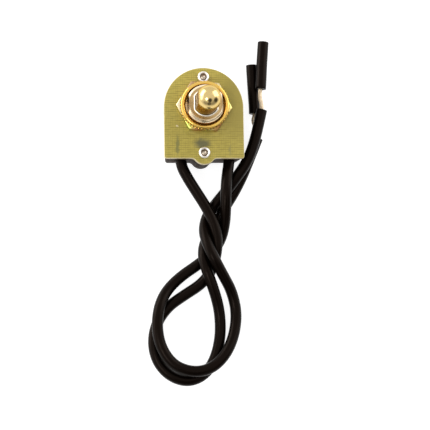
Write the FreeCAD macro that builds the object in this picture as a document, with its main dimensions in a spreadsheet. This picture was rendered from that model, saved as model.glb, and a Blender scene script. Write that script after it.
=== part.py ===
"""Push-on push-off lamp switch with a threaded bushing, two nuts and two free leads.

The switch lies on its back. The origin is on the bushing's axis in the plane of the housing's
back face, +Z is the way that the button sticks out, and the leads leave towards -Y.
Lengths are in millimetres and angles in degrees.
"""

import FreeCAD, Part
import Sketcher
import math
import os
import re

Vector = FreeCAD.Vector
UP = Vector(0, 0, 1)

DIMENSIONS = {
    # The board and the moulded housing share one outline: an arch, a flat edge and a round bump.
    "plate_width": 22.0,
    "plate_edge": 14.2,
    "plate_thickness": 1.6,
    "plate_corner": 0.6,
    "bump_inset": 1.5,
    "bump_radius": 3.2,
    "bump_blend": 1.5,
    "housing_depth": 10.0,
    "housing_step": 0.15,
    "side_draft": 0.95,
    "end_draft": 0.25,
    "floor_thickness": 1.5,
    # The round rotor well, the ledge over it and the two terminal chambers.
    "well_radius": 5.4,
    "chamber_inner": 2.6,
    "chamber_top": 2.7,
    "end_wall": 3.2,
    "chamber_margin": 1.4,
    # The two rivets, whose hollow ends are rolled over on the board.
    "eyelet_clearance": 0.09,
    "eyelet_bore": 0.9,
    "eyelet_wall": 0.25,
    "eyelet_head": 1.6,
    "eyelet_head_height": 0.45,
    "eyelet_brim": 0.18,
    "eyelet_depth": 0.9,
    "eyelet_point": 0.15,
    "eyelet_foot": 1.4,
    "eyelet_foot_height": 0.4,
    "eyelet_fit": 0.05,
    "recess_depth": 0.8,
    "recess_radius": 1.5,
    # The threaded bushing, with a flat on each side.
    "thread_radius": 5.2,
    "thread_flat": 4.5,
    "thread_top": 6.0,
    "thread_chamfer": 0.5,
    "lip_wall": 0.4,
    "lip_height": 0.6,
    "flange_radius": 6.2,
    "flange_thickness": 1.2,
    "flange_fit": 0.1,
    "guide_radius": 3.8,
    "guide_depth": 4.2,
    "keyway_reach": 4.3,
    "keyway_width": 1.4,
    "washer_inner": 4.6,
    "washer_thickness": 0.6,
    # The hex nut and the knurled ring nut.
    "nut_fit": 0.05,
    "hex_circumradius": 7.75,
    "hex_thickness": 1.6,
    "hex_chamfer": 0.35,
    "knurl_radius": 6.85,
    "knurl_depth": 0.25,
    "knurl_teeth": 48,
    "knurl_height": 1.35,
    "ring_height": 2.0,
    "rim_inner": 5.7,
    "rim_chamfer": 0.2,
    "dish_inner": 5.4,
    "dish_floor": 0.8,
    # The push button, with a flat on each side that keeps it from turning.
    "button_radius": 3.4,
    "button_flat": 2.9,
    "button_fit": 0.05,
    "button_reach": 17.4,
    "button_bore": 2.2,
    "button_cap": 9.0,
    "socket_radius": 2.65,
    "socket_depth": 2.5,
    "socket_fit": 0.05,
    # The plunger that the button drives, and the rotor that it turns.
    "travel": 2.8,
    "turn": 45.0,
    "tooth_count": 4,
    "tooth_span": 50.0,
    "tooth_start": 14.0,
    "tooth_gap": 0.2,
    "plunger_radius": 3.6,
    "plunger_stop_gap": 0.05,
    "key_reach": 4.2,
    "key_width": 1.2,
    "rotor_height": 2.5,
    "rotor_radius": 4.5,
    "rotor_thickness": 1.2,
    "hub_radius": 1.9,
    "hub_height": 5.4,
    "pin_radius": 1.0,
    "pin_fit": 0.05,
    "pin_foot": 0.7,
    "pin_head_radius": 2.0,
    "pin_head_height": 0.6,
    "pin_head_gap": 0.1,
    "boss_radius": 1.9,
    "boss_height": 0.9,
    # The spring.
    "spring_radius": 1.6,
    "spring_wire": 0.2,
    "spring_turns": 5,
    "spring_gap": 0.02,
    "wire_sides": 6,
    # The contacts.
    "bridge_length": 8.6,
    "bridge_width": 2.4,
    "bridge_hub": 2.9,
    "bridge_hole": 2.05,
    "bridge_thickness": 0.35,
    "strip_thickness": 0.5,
    "strip_width": 1.8,
    "pad_place": 3.7,
    "pad_radius": 1.1,
    "strip_end": 7.5,
    "leg_width": 2.0,
    "barrel_outer": 1.2,
    "barrel_inner": 0.8,
    "barrel_gap": 0.4,
    # The leads.
    "lead_radius": 1.5,
    "lead_sides": 10,
    "lead_hole": 1.6,
    "lead_hole_entry": 0.5,
    "left_exit": 6.2,
    "right_exit": 7.7,
    "exit_height": 5.5,
    "lead_start": 10.8,
    "strand_radius": 0.55,
    "strand_sides": 8,
    "root_radius": 0.75,
    "root_length": 3.0,
}

# The routes of the two leads, from the housing out to the end of the black covering.
RIGHT_ROUTE = [
    (7.7, -10.8, 5.5), (7.7, -14.8, 5.5), (7.3, -18.6, 6.1), (6.8, -22.9, 5.8),
    (6.6, -27.4, 5.0), (6.4, -31.4, 3.5), (5.2, -35.6, 1.6), (2.6, -39.5, 1.5),
    (-1.3, -42.6, 1.5), (-6.0, -45.7, 1.5), (-10.0, -49.5, 2.3), (-12.4, -54.0, 4.6),
    (-13.2, -60.0, 5.0), (-11.9, -65.6, 4.7), (-8.5, -70.0, 4.4), (-3.4, -72.4, 4.5),
    (1.7, -71.9, 4.8), (6.1, -68.2, 4.0), (8.7, -62.6, 2.4), (9.3, -56.2, 1.8),
    (7.7, -50.2, 2.8), (5.4, -45.6, 5.0), (3.1, -41.2, 6.6), (0.8, -37.3, 6.3),
    (-0.6, -33.2, 4.5), (0.4, -28.9, 2.1), (3.3, -25.0, 1.5), (6.5, -21.6, 1.9),
    (9.5, -18.3, 3.9), (12.4, -14.8, 4.9), (14.2, -10.6, 4.9), (15.7, -5.2, 4.8),
    (17.0, 0.5, 4.6),
]
LEFT_ROUTE = [
    (-6.2, -10.8, 5.5), (-6.2, -14.8, 5.5), (-4.4, -18.9, 5.3), (-1.8, -23.1, 5.1),
    (0.9, -27.3, 5.2), (3.3, -31.6, 5.3), (4.8, -36.1, 5.1), (5.0, -40.6, 3.8),
    (3.2, -44.8, 1.8), (-0.4, -48.0, 1.5), (-5.2, -51.0, 1.5), (-9.8, -54.1, 1.5),
    (-13.0, -58.6, 1.5), (-14.1, -64.0, 1.5), (-12.9, -69.2, 1.5), (-9.5, -73.1, 1.5),
    (-4.5, -74.8, 1.5), (0.4, -73.3, 1.5), (3.8, -69.0, 1.5), (5.1, -62.4, 1.5),
    (4.6, -55.2, 2.4), (2.6, -48.7, 4.6), (0.5, -43.8, 5.4), (-0.6, -39.4, 4.1),
    (0.6, -35.0, 1.9), (3.7, -30.7, 1.5), (7.2, -26.4, 1.5), (10.0, -22.4, 1.5),
    (12.3, -17.6, 1.5), (14.1, -12.1, 1.5), (16.1, -7.0, 1.5),
]
# The bare strands beyond each covering, and the short sleeve of covering left on their tips.
RIGHT_STRANDS = [
    (17.0, 0.5, 4.6), (17.3, 1.8, 4.55), (17.05, 3.6, 4.45), (16.72, 5.2, 4.34), (16.8, 6.6, 4.3),
]
RIGHT_SLEEVE = [(16.8, 6.6, 4.3), (17.2, 13.3, 4.1), (17.9, 20.0, 3.9)]
LEFT_STRANDS = [
    (16.1, -7.0, 1.5), (16.6, -5.72, 1.5), (16.6, -3.6, 1.5), (16.14, -1.74, 1.5), (16.0, -0.1, 1.5),
]
LEFT_SLEEVE = [(16.0, -0.1, 1.5), (15.4, 6.9, 1.5), (15.0, 13.9, 1.5)]

doc = FreeCAD.newDocument("push_switch")
sheet = doc.addObject("Spreadsheet::Sheet", "dims")
for row, (alias, number) in enumerate(DIMENSIONS.items(), start=1):
    sheet.set(f"A{row}", alias)
    sheet.set(f"B{row}", str(number))
    sheet.setAlias(f"B{row}", alias)
doc.recompute()


def size(alias):
    """A driving dimension's value, for the pieces whose shape is computed."""
    return float(sheet.get(alias))


def bound(expression):
    """The expression with each driving dimension's name led by the sheet's."""
    return re.sub(r"[a-z][a-z_]+", lambda m: "dims." + m[0] if m[0] in DIMENSIONS else m[0], expression)


# Where the corners of a turned profile start before its constraints move them into place.
FIRST_CENTRE = 20
FIRST_REACH = 10

# Heights and places that several pieces share.
BUMP_PLACE = "(plate_edge - bump_inset)"
UPPER_EYELET = "(hex_circumradius * cos(30) + eyelet_clearance + eyelet_head)"
CHAMBER_END = "(plate_edge - end_wall)"
BARREL_LENGTH = f"({CHAMBER_END} - barrel_gap - strip_end + strip_thickness)"
PLATE_TOP = "(housing_depth + plate_thickness)"
FLANGE_BOTTOM = "(housing_depth - flange_thickness)"
LEDGE = f"({FLANGE_BOTTOM} - washer_thickness)"
GUIDE_TOP = f"({FLANGE_BOTTOM} + guide_depth)"
PLUNGER_TOP = f"({GUIDE_TOP} - plunger_stop_gap)"
THREAD_END = f"({PLATE_TOP} + thread_top)"
NUT_BORE = "(thread_radius + nut_fit)"
RING_BOTTOM = f"({PLATE_TOP} + hex_thickness)"
HUB_TOP = "(rotor_height + hub_height)"
HEAD_BOTTOM = f"({HUB_TOP} + pin_head_gap)"
HEAD_TOP = f"({HEAD_BOTTOM} + pin_head_height)"
EYELET_TUBE = "(eyelet_bore + eyelet_wall)"


def primitive(kind, name, at=("0", "0", "0"), **sizes):
    """A Part primitive whose sizes and place follow the sheet."""
    solid = doc.addObject(f"Part::{kind}", name)
    for key, expression in sizes.items():
        solid.setExpression(key, bound(expression))
    for key, expression in zip("xyz", at):
        solid.setExpression(f"Placement.Base.{key}", bound(expression))
    return solid


def joined(name, *pieces):
    """One solid of several that meet."""
    result = doc.addObject("Part::MultiFuse", name)
    result.Shapes = list(pieces)
    result.Refine = True
    return result


def less(name, base, *tools):
    """The base with each tool's volume taken away."""
    result = doc.addObject("Part::Cut", name)
    result.Base = base
    result.Tool = tools[0] if len(tools) == 1 else joined(f"{name}_cutter", *tools)
    result.Refine = True
    return result


def turned(name, profile):
    """A turned body: each corner of its closed profile is a radius and a height."""
    body = doc.addObject("PartDesign::Body", name)
    sketch = body.newObject("Sketcher::SketchObject", f"{name}_profile")
    plane = next(f for f in body.Origin.OriginFeatures if f.Role == "XZ_Plane")
    sketch.AttachmentSupport = (plane, "")
    sketch.MapMode = "FlatFace"
    count = len(profile)
    step = 2 * math.pi / count
    start = [
        Vector(FIRST_CENTRE + FIRST_REACH * math.cos(i * step), FIRST_REACH * math.sin(i * step), 0)
        for i in range(count)
    ]
    for i in range(count):
        sketch.addGeometry(Part.LineSegment(start[i], start[(i + 1) % count]))
    for i, (radius, height) in enumerate(profile):
        sketch.addConstraint(Sketcher.Constraint("Coincident", i, 2, (i + 1) % count, 1))
        across = sketch.addConstraint(Sketcher.Constraint("DistanceX", -1, 1, i, 1, start[i].x))
        above = sketch.addConstraint(Sketcher.Constraint("DistanceY", -1, 1, i, 1, start[i].y))
        sketch.setExpression(f"Constraints[{across}]", bound(radius))
        sketch.setExpression(f"Constraints[{above}]", bound(height))
    revolution = body.newObject("PartDesign::Revolution", f"{name}_turning")
    revolution.Profile = sketch
    revolution.ReferenceAxis = (sketch, ["V_Axis"])
    revolution.Angle = 360
    return body


def outline(name, bottom, top, side, end, inset_top):
    """The arch, block and bump that the board and the housing share, drafted between two heights.

    The insets at the bottom are side, for the arch and the two straight sides, and end, for the
    flat edge and the bump.
    """
    height = f"{top} - {bottom}"
    arch = primitive(
        "Cone", f"{name}_arch", at=("0", "0", bottom), Height=height,
        Radius1=f"plate_width / 2 - {side}", Radius2=f"plate_width / 2 - {inset_top}",
    )
    bump = primitive(
        "Cone", f"{name}_bump", at=("0", f"-{BUMP_PLACE}", bottom), Height=height,
        Radius1=f"bump_radius - {end}", Radius2=f"bump_radius - {inset_top}",
    )
    block = primitive(
        "Wedge", f"{name}_block", at=("0", "0", bottom), Ymin="0", Ymax=height,
        Xmin=f"{side} - plate_width / 2", Xmax=f"plate_width / 2 - {side}",
        X2min=f"{inset_top} - plate_width / 2", X2max=f"plate_width / 2 - {inset_top}",
        Zmin="0", Zmax=f"plate_edge - {end}", Z2min="0", Z2max=f"plate_edge - {inset_top}",
    )
    block.Placement.Rotation = FreeCAD.Rotation(Vector(1, 0, 0), 90)
    whole = joined(f"{name}_outline", arch, block, bump)
    doc.recompute()
    return softened(f"{name}_softened", whole)


def softened(name, whole):
    """Rounds the two corners of the flat edge, and blends it into the bump."""
    fillet = doc.addObject("Part::Fillet", name)
    fillet.Base = whole
    rise, reach = size("bump_inset"), size("bump_radius")
    centre = rise - size("plate_edge")
    middle = (math.sqrt(max(reach * reach - rise * rise, 0)) + size("plate_width") / 2) / 2
    edges = []
    for number, edge in enumerate(whole.Shape.Edges, start=1):
        low, high = edge.BoundBox.ZMin, edge.BoundBox.ZMax
        upright = abs(high - low - whole.Shape.BoundBox.ZLength) < 0.01
        place = edge.CenterOfMass
        if upright and place.y < centre:
            radius = size("plate_corner") if abs(place.x) > middle else size("bump_blend")
            edges.append((number, radius, radius))
    fillet.Edges = edges
    return fillet


def sector(inner, outer, low, high, first, last):
    """A piece of a ring between two radii, two heights and two angles."""
    solid = Part.makeCylinder(outer, high - low, Vector(0, 0, low), UP, last - first)
    solid = solid.cut(Part.makeCylinder(inner, high - low, Vector(0, 0, low)))
    solid.rotate(Vector(), UP, first)
    return solid


def ramp(inner, outer, low, span, lead, height):
    """A helical face that climbs counterclockwise from +X, extruded by a signed height."""
    rise = lead * span / 360
    rails = [Part.makeHelix(lead, rise, radius) for radius in (inner, outer)]
    face = Part.makeRuledSurface(rails[0].Edges[0], rails[1].Edges[0])
    face.translate(Vector(0, 0, low))
    return face.extrude(Vector(0, 0, height))


def ratchet_sizes():
    """The crown teeth's inner and outer radius, lead and height."""
    lead = size("travel") * 360 / size("turn")
    return size("button_bore"), size("plunger_radius"), lead, lead * size("tooth_span") / 360


def computed(name, shape):
    """A sub-part whose shape is worked out from the sheet by Part's own functions."""
    piece = doc.addObject("Part::Feature", name)
    piece.Shape = shape
    return piece


def polygon(centre, across, above, radius, sides):
    """A closed regular outline inside the circle of a wire or a cord."""
    angles = [2 * math.pi * i / sides for i in range(sides + 1)]
    return Part.makePolygon([
        centre + across * (radius * math.cos(angle)) + above * (radius * math.sin(angle))
        for angle in angles
    ])


def tube(points, radius, sides):
    """A many-sided tube along straight runs that are joined by tangent arcs, and its bend radii."""
    corners = [Vector(*point) for point in points]
    edges, radii, start = [], [], corners[0]
    for before, corner, after in zip(corners, corners[1:], corners[2:]):
        back, ahead = before - corner, after - corner
        reach = 0.45 * min(back.Length, ahead.Length)
        half_turn = (math.pi - back.getAngle(ahead)) / 2
        back.normalize()
        ahead.normalize()
        bend = reach / math.tan(half_turn)
        centre = corner + (back + ahead).normalize() * (bend / math.cos(half_turn))
        first, last = corner + back * reach, corner + ahead * reach
        middle = centre + (corner - centre).normalize() * bend
        edges.append(Part.LineSegment(start, first).toShape())
        edges.append(Part.Arc(first, middle, last).toShape())
        radii.append(bend)
        start = last
    edges.append(Part.LineSegment(start, corners[-1]).toShape())
    path = Part.Wire(edges)
    ahead = (corners[1] - corners[0]).normalize()
    across = ahead.cross(UP).normalize()
    section = polygon(corners[0], across, across.cross(ahead), radius, sides)
    solid = path.makePipeShell([section], True, False)
    expected = sides / 2 * radius * radius * math.sin(2 * math.pi / sides) * path.Length
    print(f"  length {path.Length:.1f}, least bend {min(radii):.1f}, volume {solid.Volume / expected:.4f}")
    return solid


def side_flats(name, half, low, high):
    """Two blocks that cut a round piece flat at the same distance on its left and right."""
    wide = "2 * flange_radius"
    corners = (("left", f"-{half} - {wide}"), ("right", half))
    return [primitive(
        "Box", f"{name}_{side}_flat", at=(place, f"-{wide}", low),
        Length=wide, Width=f"2 * {wide}", Height=f"{high} - {low}",
    ) for side, place in corners]


def moulded_housing():
    """The black moulding: drafted outside, with a stepped round well and two terminal chambers."""
    side, end = "(housing_step + side_draft)", "(housing_step + end_draft)"
    block = outline("housing", "0", "housing_depth", side, end, "housing_step")
    well = primitive(
        "Cylinder", "rotor_well", at=("0", "0", "floor_thickness"),
        Radius="well_radius", Height="housing_depth",
    )
    ledge = primitive(
        "Cylinder", "flange_seat", at=("0", "0", LEDGE),
        Radius="flange_radius + flange_fit", Height="housing_depth",
    )
    cutters = [well, ledge]
    for side, place in (("left", "-left_exit"), ("right", "right_exit")):
        reach = f"{side}_exit - chamber_inner + chamber_margin"
        corner = "chamber_inner" if side == "right" else "-left_exit - chamber_margin"
        cutters.append(primitive(
            "Box", f"{side}_chamber", at=(corner, f"-{CHAMBER_END}", "floor_thickness"),
            Length=reach, Width=f"{CHAMBER_END} - chamber_top", Height="housing_depth",
        ))
        hole = primitive(
            "Cylinder", f"{side}_lead_hole", at=(place, f"lead_hole_entry - {CHAMBER_END}", "exit_height"),
            Radius="lead_hole", Height="plate_edge",
        )
        hole.Placement.Rotation = FreeCAD.Rotation(Vector(1, 0, 0), 90)
        cutters.append(hole)
    for name, place in (("upper", UPPER_EYELET), ("lower", f"-{BUMP_PLACE}")):
        cutters.append(primitive(
            "Cylinder", f"{name}_rivet_hole", at=("0", place, "0"),
            Radius=f"{EYELET_TUBE} + eyelet_fit", Height="housing_depth",
        ))
        cutters.append(primitive(
            "Cylinder", f"{name}_rivet_recess", at=("0", place, "0"),
            Radius="recess_radius", Height="recess_depth",
        ))
    cutters.append(primitive(
        "Box", "upper_rivet_notch", at=("-recess_radius", UPPER_EYELET, "0"),
        Length="2 * recess_radius", Width="plate_width", Height="recess_depth",
    ))
    hollow = less("housing_hollow", block, *cutters)
    boss = primitive(
        "Cylinder", "rotor_boss", at=("0", "0", "floor_thickness / 2"),
        Radius="boss_radius", Height="floor_thickness / 2 + boss_height",
    )
    seat = primitive(
        "Cylinder", "pin_seat", at=("0", "0", "pin_foot"), Radius="pin_radius", Height="housing_depth",
    )
    return less("housing", joined("housing_with_boss", hollow, boss), seat)


def board():
    """The flat cover board, with a clear hole for the bushing and one for each rivet."""
    plate = outline("cover_plate", "housing_depth", PLATE_TOP, "0", "0", "0")
    holes = [primitive(
        "Cylinder", "bushing_hole", at=("0", "0", "housing_depth"),
        Radius=NUT_BORE, Height="plate_thickness",
    )]
    for name, place in (("upper", UPPER_EYELET), ("lower", f"-{BUMP_PLACE}")):
        holes.append(primitive(
            "Cylinder", f"{name}_board_hole", at=("0", place, "housing_depth"),
            Radius=f"{EYELET_TUBE} + eyelet_fit", Height="plate_thickness",
        ))
    return less("cover_plate", plate, *holes)


def eyelet(name, place):
    """A rivet: a flat head in the housing's back, and a hollow end rolled over on the board."""
    head = f"({PLATE_TOP} + eyelet_head_height)"
    body = turned(name, [
        ("0", "recess_depth - eyelet_foot_height"),
        ("eyelet_foot", "recess_depth - eyelet_foot_height"),
        ("eyelet_foot", "recess_depth"),
        (EYELET_TUBE, "recess_depth"),
        (EYELET_TUBE, PLATE_TOP),
        ("eyelet_head", PLATE_TOP),
        ("eyelet_head", f"{PLATE_TOP} + eyelet_brim"),
        ("eyelet_head - eyelet_wall", head),
        ("eyelet_bore + eyelet_wall / 2", head),
        ("eyelet_bore", f"{PLATE_TOP} + eyelet_head_height / 2"),
        ("eyelet_bore", f"{head} - eyelet_depth"),
        ("0", f"{head} - eyelet_depth - eyelet_point"),
    ])
    body.setExpression("Placement.Base.y", bound(place))
    return body


def bushing():
    """The threaded bushing: flange, flatted thread, thin lip, button hole and a keyed guide below."""
    lip_top = f"({THREAD_END} + lip_height)"
    lip_radius = "(button_radius + button_fit + lip_wall)"
    body = turned("bushing_turning", [
        ("0", GUIDE_TOP),
        ("guide_radius", GUIDE_TOP),
        ("guide_radius", FLANGE_BOTTOM),
        ("flange_radius", FLANGE_BOTTOM),
        ("flange_radius", "housing_depth"),
        ("thread_radius", "housing_depth"),
        ("thread_radius", f"{THREAD_END} - thread_chamfer"),
        ("thread_radius - thread_chamfer", THREAD_END),
        (lip_radius, THREAD_END),
        (lip_radius, lip_top),
        ("0", lip_top),
    ])
    keyway = primitive(
        "Box", "keyways", at=("-keyway_width / 2", "-keyway_reach", FLANGE_BOTTOM),
        Length="keyway_width", Width="2 * keyway_reach", Height="guide_depth",
    )
    passage = primitive(
        "Cylinder", "button_passage", at=("0", "0", GUIDE_TOP),
        Radius="button_radius + button_fit", Height=f"{lip_top} - {GUIDE_TOP}",
    )
    passage_flats = side_flats("passage", "(button_flat + button_fit)", GUIDE_TOP, lip_top)
    cutters = [keyway, less("flatted_passage", passage, *passage_flats)]
    cutters += side_flats("thread", "thread_flat", "housing_depth", THREAD_END)
    cutters += side_flats("lip", "(button_flat + button_fit + lip_wall)", THREAD_END, lip_top)
    return less("threaded_bushing", body, *cutters)


def washer():
    """The fibre ring between the bushing's flange and the ledge of the housing."""
    ring = primitive(
        "Cylinder", "washer_disc", at=("0", "0", LEDGE), Radius="flange_radius", Height="washer_thickness",
    )
    hole = primitive(
        "Cylinder", "washer_hole", at=("0", "0", LEDGE), Radius="washer_inner", Height="washer_thickness",
    )
    return less("insulating_washer", ring, hole)


def hex_nut():
    """The hexagonal lock nut, chamfered at its upper corners."""
    prism = primitive(
        "Prism", "hexagon", at=("0", "0", PLATE_TOP),
        Circumradius="hex_circumradius", Height="hex_thickness",
    )
    prism.Polygon = 6
    prism.Placement.Rotation = FreeCAD.Rotation(UP, -3)
    low = "hex_thickness - hex_chamfer"
    straight = primitive(
        "Cylinder", "hexagon_round", at=("0", "0", PLATE_TOP), Radius="hex_circumradius", Height=low,
    )
    crown = primitive(
        "Cone", "hexagon_chamfer", at=("0", "0", f"{PLATE_TOP} + {low}"), Height="hex_chamfer",
        Radius1="hex_circumradius", Radius2="hex_circumradius - 2 * hex_chamfer",
    )
    chamfered = doc.addObject("Part::MultiCommon", "hexagon_chamfered")
    chamfered.Shapes = [prism, joined("hexagon_limits", straight, crown)]
    bore = primitive(
        "Cylinder", "hex_bore", at=("0", "0", PLATE_TOP), Radius=NUT_BORE, Height="hex_thickness",
    )
    return less("hex_nut", chamfered, bore)


def knurl():
    """The toothed band round the ring nut, one small triangle after the other."""
    count = int(size("knurl_teeth"))
    tip, root = size("knurl_radius"), size("knurl_radius") - size("knurl_depth")
    bottom = size("housing_depth") + size("plate_thickness") + size("hex_thickness")
    corners = []
    for i in range(2 * count + 1):
        angle = math.pi * i / count
        radius = tip if i % 2 else root
        corners.append(Vector(radius * math.cos(angle), radius * math.sin(angle), bottom))
    star = Part.Face(Part.makePolygon(corners)).extrude(Vector(0, 0, size("knurl_height")))
    core = Part.makeCylinder(size("rim_inner"), size("knurl_height"), Vector(0, 0, bottom))
    return computed("knurl_band", star.cut(core))


def ring_nut():
    """The knurled ring nut: a toothed band, a smooth rim above it and a deep dish inside."""
    top = f"{RING_BOTTOM} + ring_height"
    core = turned("ring_turning", [
        (NUT_BORE, RING_BOTTOM),
        ("knurl_radius - knurl_depth", RING_BOTTOM),
        ("knurl_radius - knurl_depth", f"{top} - rim_chamfer"),
        ("knurl_radius - knurl_depth - rim_chamfer", top),
        ("rim_inner", top),
        ("dish_inner", f"{RING_BOTTOM} + dish_floor"),
        (NUT_BORE, f"{RING_BOTTOM} + dish_floor"),
    ])
    return joined("knurled_nut", core, knurl())


def button():
    """The round-ended push button, hollow below for the plunger's spigot and the spring."""
    top = f"({PLATE_TOP} + button_reach)"
    barrel = primitive(
        "Cylinder", "button_barrel", at=("0", "0", PLUNGER_TOP),
        Radius="button_radius", Height=f"{top} - button_radius - {PLUNGER_TOP}",
    )
    dome = primitive(
        "Sphere", "button_dome", at=("0", "0", f"{top} - button_radius"), Radius="button_radius",
    )
    socket = primitive(
        "Cylinder", "button_socket", at=("0", "0", PLUNGER_TOP),
        Radius="socket_radius", Height="socket_depth + socket_fit",
    )
    bore = primitive(
        "Cylinder", "button_bore_hole", at=("0", "0", PLUNGER_TOP),
        Radius="button_bore", Height=f"{top} - button_cap - {PLUNGER_TOP}",
    )
    flats = side_flats("button", "button_flat", PLUNGER_TOP, top)
    return less("push_button", joined("button_solid", barrel, dome), socket, bore, *flats)


def crowned(solid, tooth):
    """The solid with the tooth repeated round its axis."""
    count = int(size("tooth_count"))
    for i in range(count):
        copy = tooth.copy()
        copy.rotate(Vector(), UP, i * 360 / count)
        solid = solid.fuse(copy)
    return solid


def plunger():
    """The moulded tube under the button: two keys, a spigot and four helical crown teeth below."""
    inner, outer, lead, height = ratchet_sizes()
    tip = size("rotor_height") + size("rotor_thickness") + size("travel") + size("tooth_gap")
    root = tip + height
    guide_top = size("housing_depth") - size("flange_thickness") + size("guide_depth")
    shoulder = guide_top - size("plunger_stop_gap")
    solid = Part.makeCylinder(outer, shoulder - root, Vector(0, 0, root))
    spigot = size("socket_radius") - size("socket_fit")
    solid = solid.fuse(Part.makeCylinder(spigot, size("socket_depth"), Vector(0, 0, shoulder)))
    width, reach = size("key_width"), size("key_reach")
    keys = Part.makeBox(width, 2 * reach, shoulder - root, Vector(-width / 2, -reach, root))
    contact = size("turn")
    slope = ramp(inner, outer, tip, size("tooth_span"), lead, 2 * height)
    slope = slope.common(Part.makeCylinder(outer, height, Vector(0, 0, tip)))
    slope.rotate(Vector(), UP, contact)
    tooth = sector(inner, outer, tip, root, size("tooth_start"), contact).fuse(slope)
    solid = crowned(solid.fuse(keys), tooth)
    bore = Part.makeCylinder(inner, shoulder, Vector(0, 0, root))
    return computed("plunger", solid.cut(bore).removeSplitter())


def rotor():
    """The wheel under the plunger: a disc, a hub that turns on the pin and the crown teeth."""
    low, thick = size("rotor_height"), size("rotor_thickness")
    solid = Part.makeCylinder(size("rotor_radius"), thick, Vector(0, 0, low))
    solid = solid.fuse(Part.makeCylinder(size("hub_radius"), size("hub_height"), Vector(0, 0, low)))
    inner, outer, lead, height = ratchet_sizes()
    wedge = ramp(inner, outer, low + thick, size("tooth_span"), lead, -2 * height)
    tooth = wedge.common(Part.makeCylinder(outer, height + thick, Vector(0, 0, low + thick / 2)))
    hole = Part.makeCylinder(size("pin_radius") + size("pin_fit"), size("hub_height"), Vector(0, 0, low))
    return computed("rotor", crowned(solid, tooth).cut(hole).removeSplitter())


def rotor_pin():
    """The steel pin that the rotor turns on; its head keeps the rotor down and seats the spring."""
    return turned("rotor_pin", [
        ("0", "pin_foot"),
        ("pin_radius", "pin_foot"),
        ("pin_radius", HEAD_BOTTOM),
        ("pin_head_radius", HEAD_BOTTOM),
        ("pin_head_radius", HEAD_TOP),
        ("0", HEAD_TOP),
    ])


def spring():
    """The coil spring between the pin's head and the closed end of the button."""
    wire, radius = size("spring_wire"), size("spring_radius")
    seat = size("rotor_height") + size("hub_height") + size("pin_head_gap") + size("pin_head_height")
    end = size("housing_depth") + size("plate_thickness") + size("button_reach") - size("button_cap")
    gap, sides = size("spring_gap"), int(size("wire_sides"))
    height = end - seat - 2 * wire - 2 * gap
    helix = Part.makeHelix(height / size("spring_turns"), height, radius)
    section = polygon(Vector(radius, 0, 0), Vector(1, 0, 0), UP, wire, sides)
    coil = Part.Wire(helix).makePipeShell([section], True, True)
    coil.translate(Vector(0, 0, seat + wire + gap))
    return computed("return_spring", coil)


def bridge():
    """The springy brass blade under the rotor that joins the two terminals."""
    bottom = "rotor_height - bridge_thickness"
    blade = primitive(
        "Box", "bridge_blade", at=("-bridge_length / 2", "-bridge_width / 2", bottom),
        Length="bridge_length", Width="bridge_width", Height="bridge_thickness",
    )
    hub = primitive(
        "Cylinder", "bridge_disc", at=("0", "0", bottom), Radius="bridge_hub", Height="bridge_thickness",
    )
    hole = primitive(
        "Cylinder", "bridge_opening", at=("0", "0", bottom),
        Radius="bridge_hole", Height="bridge_thickness",
    )
    return less("contact_bridge", joined("bridge_solid", blade, hub), hole)


def terminal(side, sign):
    """A brass strip on the floor: contact pad, arm, upright leg and a barrel round the strands."""
    exit_place = f"{side}_exit"
    barrel_start = f"{sign} * {exit_place}", "strip_thickness - strip_end", "exit_height"
    pad = primitive(
        "Cylinder", f"{side}_pad", at=(f"{sign} * pad_place", "0", "floor_thickness"),
        Radius="pad_radius", Height="strip_thickness",
    )
    arm = primitive(
        "Box", f"{side}_arm", at=(f"{sign} * pad_place - strip_width / 2", "-strip_end", "floor_thickness"),
        Length="strip_width", Width="strip_end", Height="strip_thickness",
    )
    inner = f"{sign} * (pad_place - strip_width / 2)"
    outer = f"{sign} * ({exit_place} + leg_width / 2)"
    low, high = (inner, outer) if sign == "1" else (outer, inner)
    foot = primitive(
        "Box", f"{side}_foot", at=(low, "-strip_end", "floor_thickness"),
        Length=f"{high} - {low}", Width="strip_width", Height="strip_thickness",
    )
    leg = primitive(
        "Box", f"{side}_leg", at=(f"{sign} * {exit_place} - leg_width / 2", "-strip_end", "floor_thickness"),
        Length="leg_width", Width="strip_thickness",
        Height="exit_height - barrel_inner - floor_thickness",
    )
    barrel = primitive(
        "Cylinder", f"{side}_barrel", at=barrel_start, Radius="barrel_outer", Height=BARREL_LENGTH,
    )
    bore = primitive(
        "Cylinder", f"{side}_barrel_bore", at=barrel_start, Radius="barrel_inner", Height=BARREL_LENGTH,
    )
    for piece in (barrel, bore):
        piece.Placement.Rotation = FreeCAD.Rotation(Vector(1, 0, 0), 90)
    return less(f"{side}_terminal", joined(f"{side}_strip", pad, arm, foot, leg, barrel), bore)


def root_strands(side, sign):
    """The stripped strands at the housing end of a lead, inside the terminal's barrel."""
    start = f"{sign} * {side}_exit", "root_length - lead_start", "exit_height"
    strands = primitive(
        "Cylinder", f"{side}_root_strands", at=start, Radius="root_radius", Height="root_length",
    )
    strands.Placement.Rotation = FreeCAD.Rotation(Vector(1, 0, 0), 90)
    return strands


def lead_pieces():
    """Each lead's covering, the bare strands beyond it and the sleeve left on their tips."""
    covering = size("lead_radius"), int(size("lead_sides"))
    strand = size("strand_radius"), int(size("strand_sides"))
    return [
        computed("left_lead", tube(LEFT_ROUTE, *covering)),
        computed("right_lead", tube(RIGHT_ROUTE, *covering)),
        computed("left_tip_strands", tube(LEFT_STRANDS, *strand)),
        computed("right_tip_strands", tube(RIGHT_STRANDS, *strand)),
        computed("left_tip_sleeve", tube(LEFT_SLEEVE, *covering)),
        computed("right_tip_sleeve", tube(RIGHT_SLEEVE, *covering)),
    ]


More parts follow.
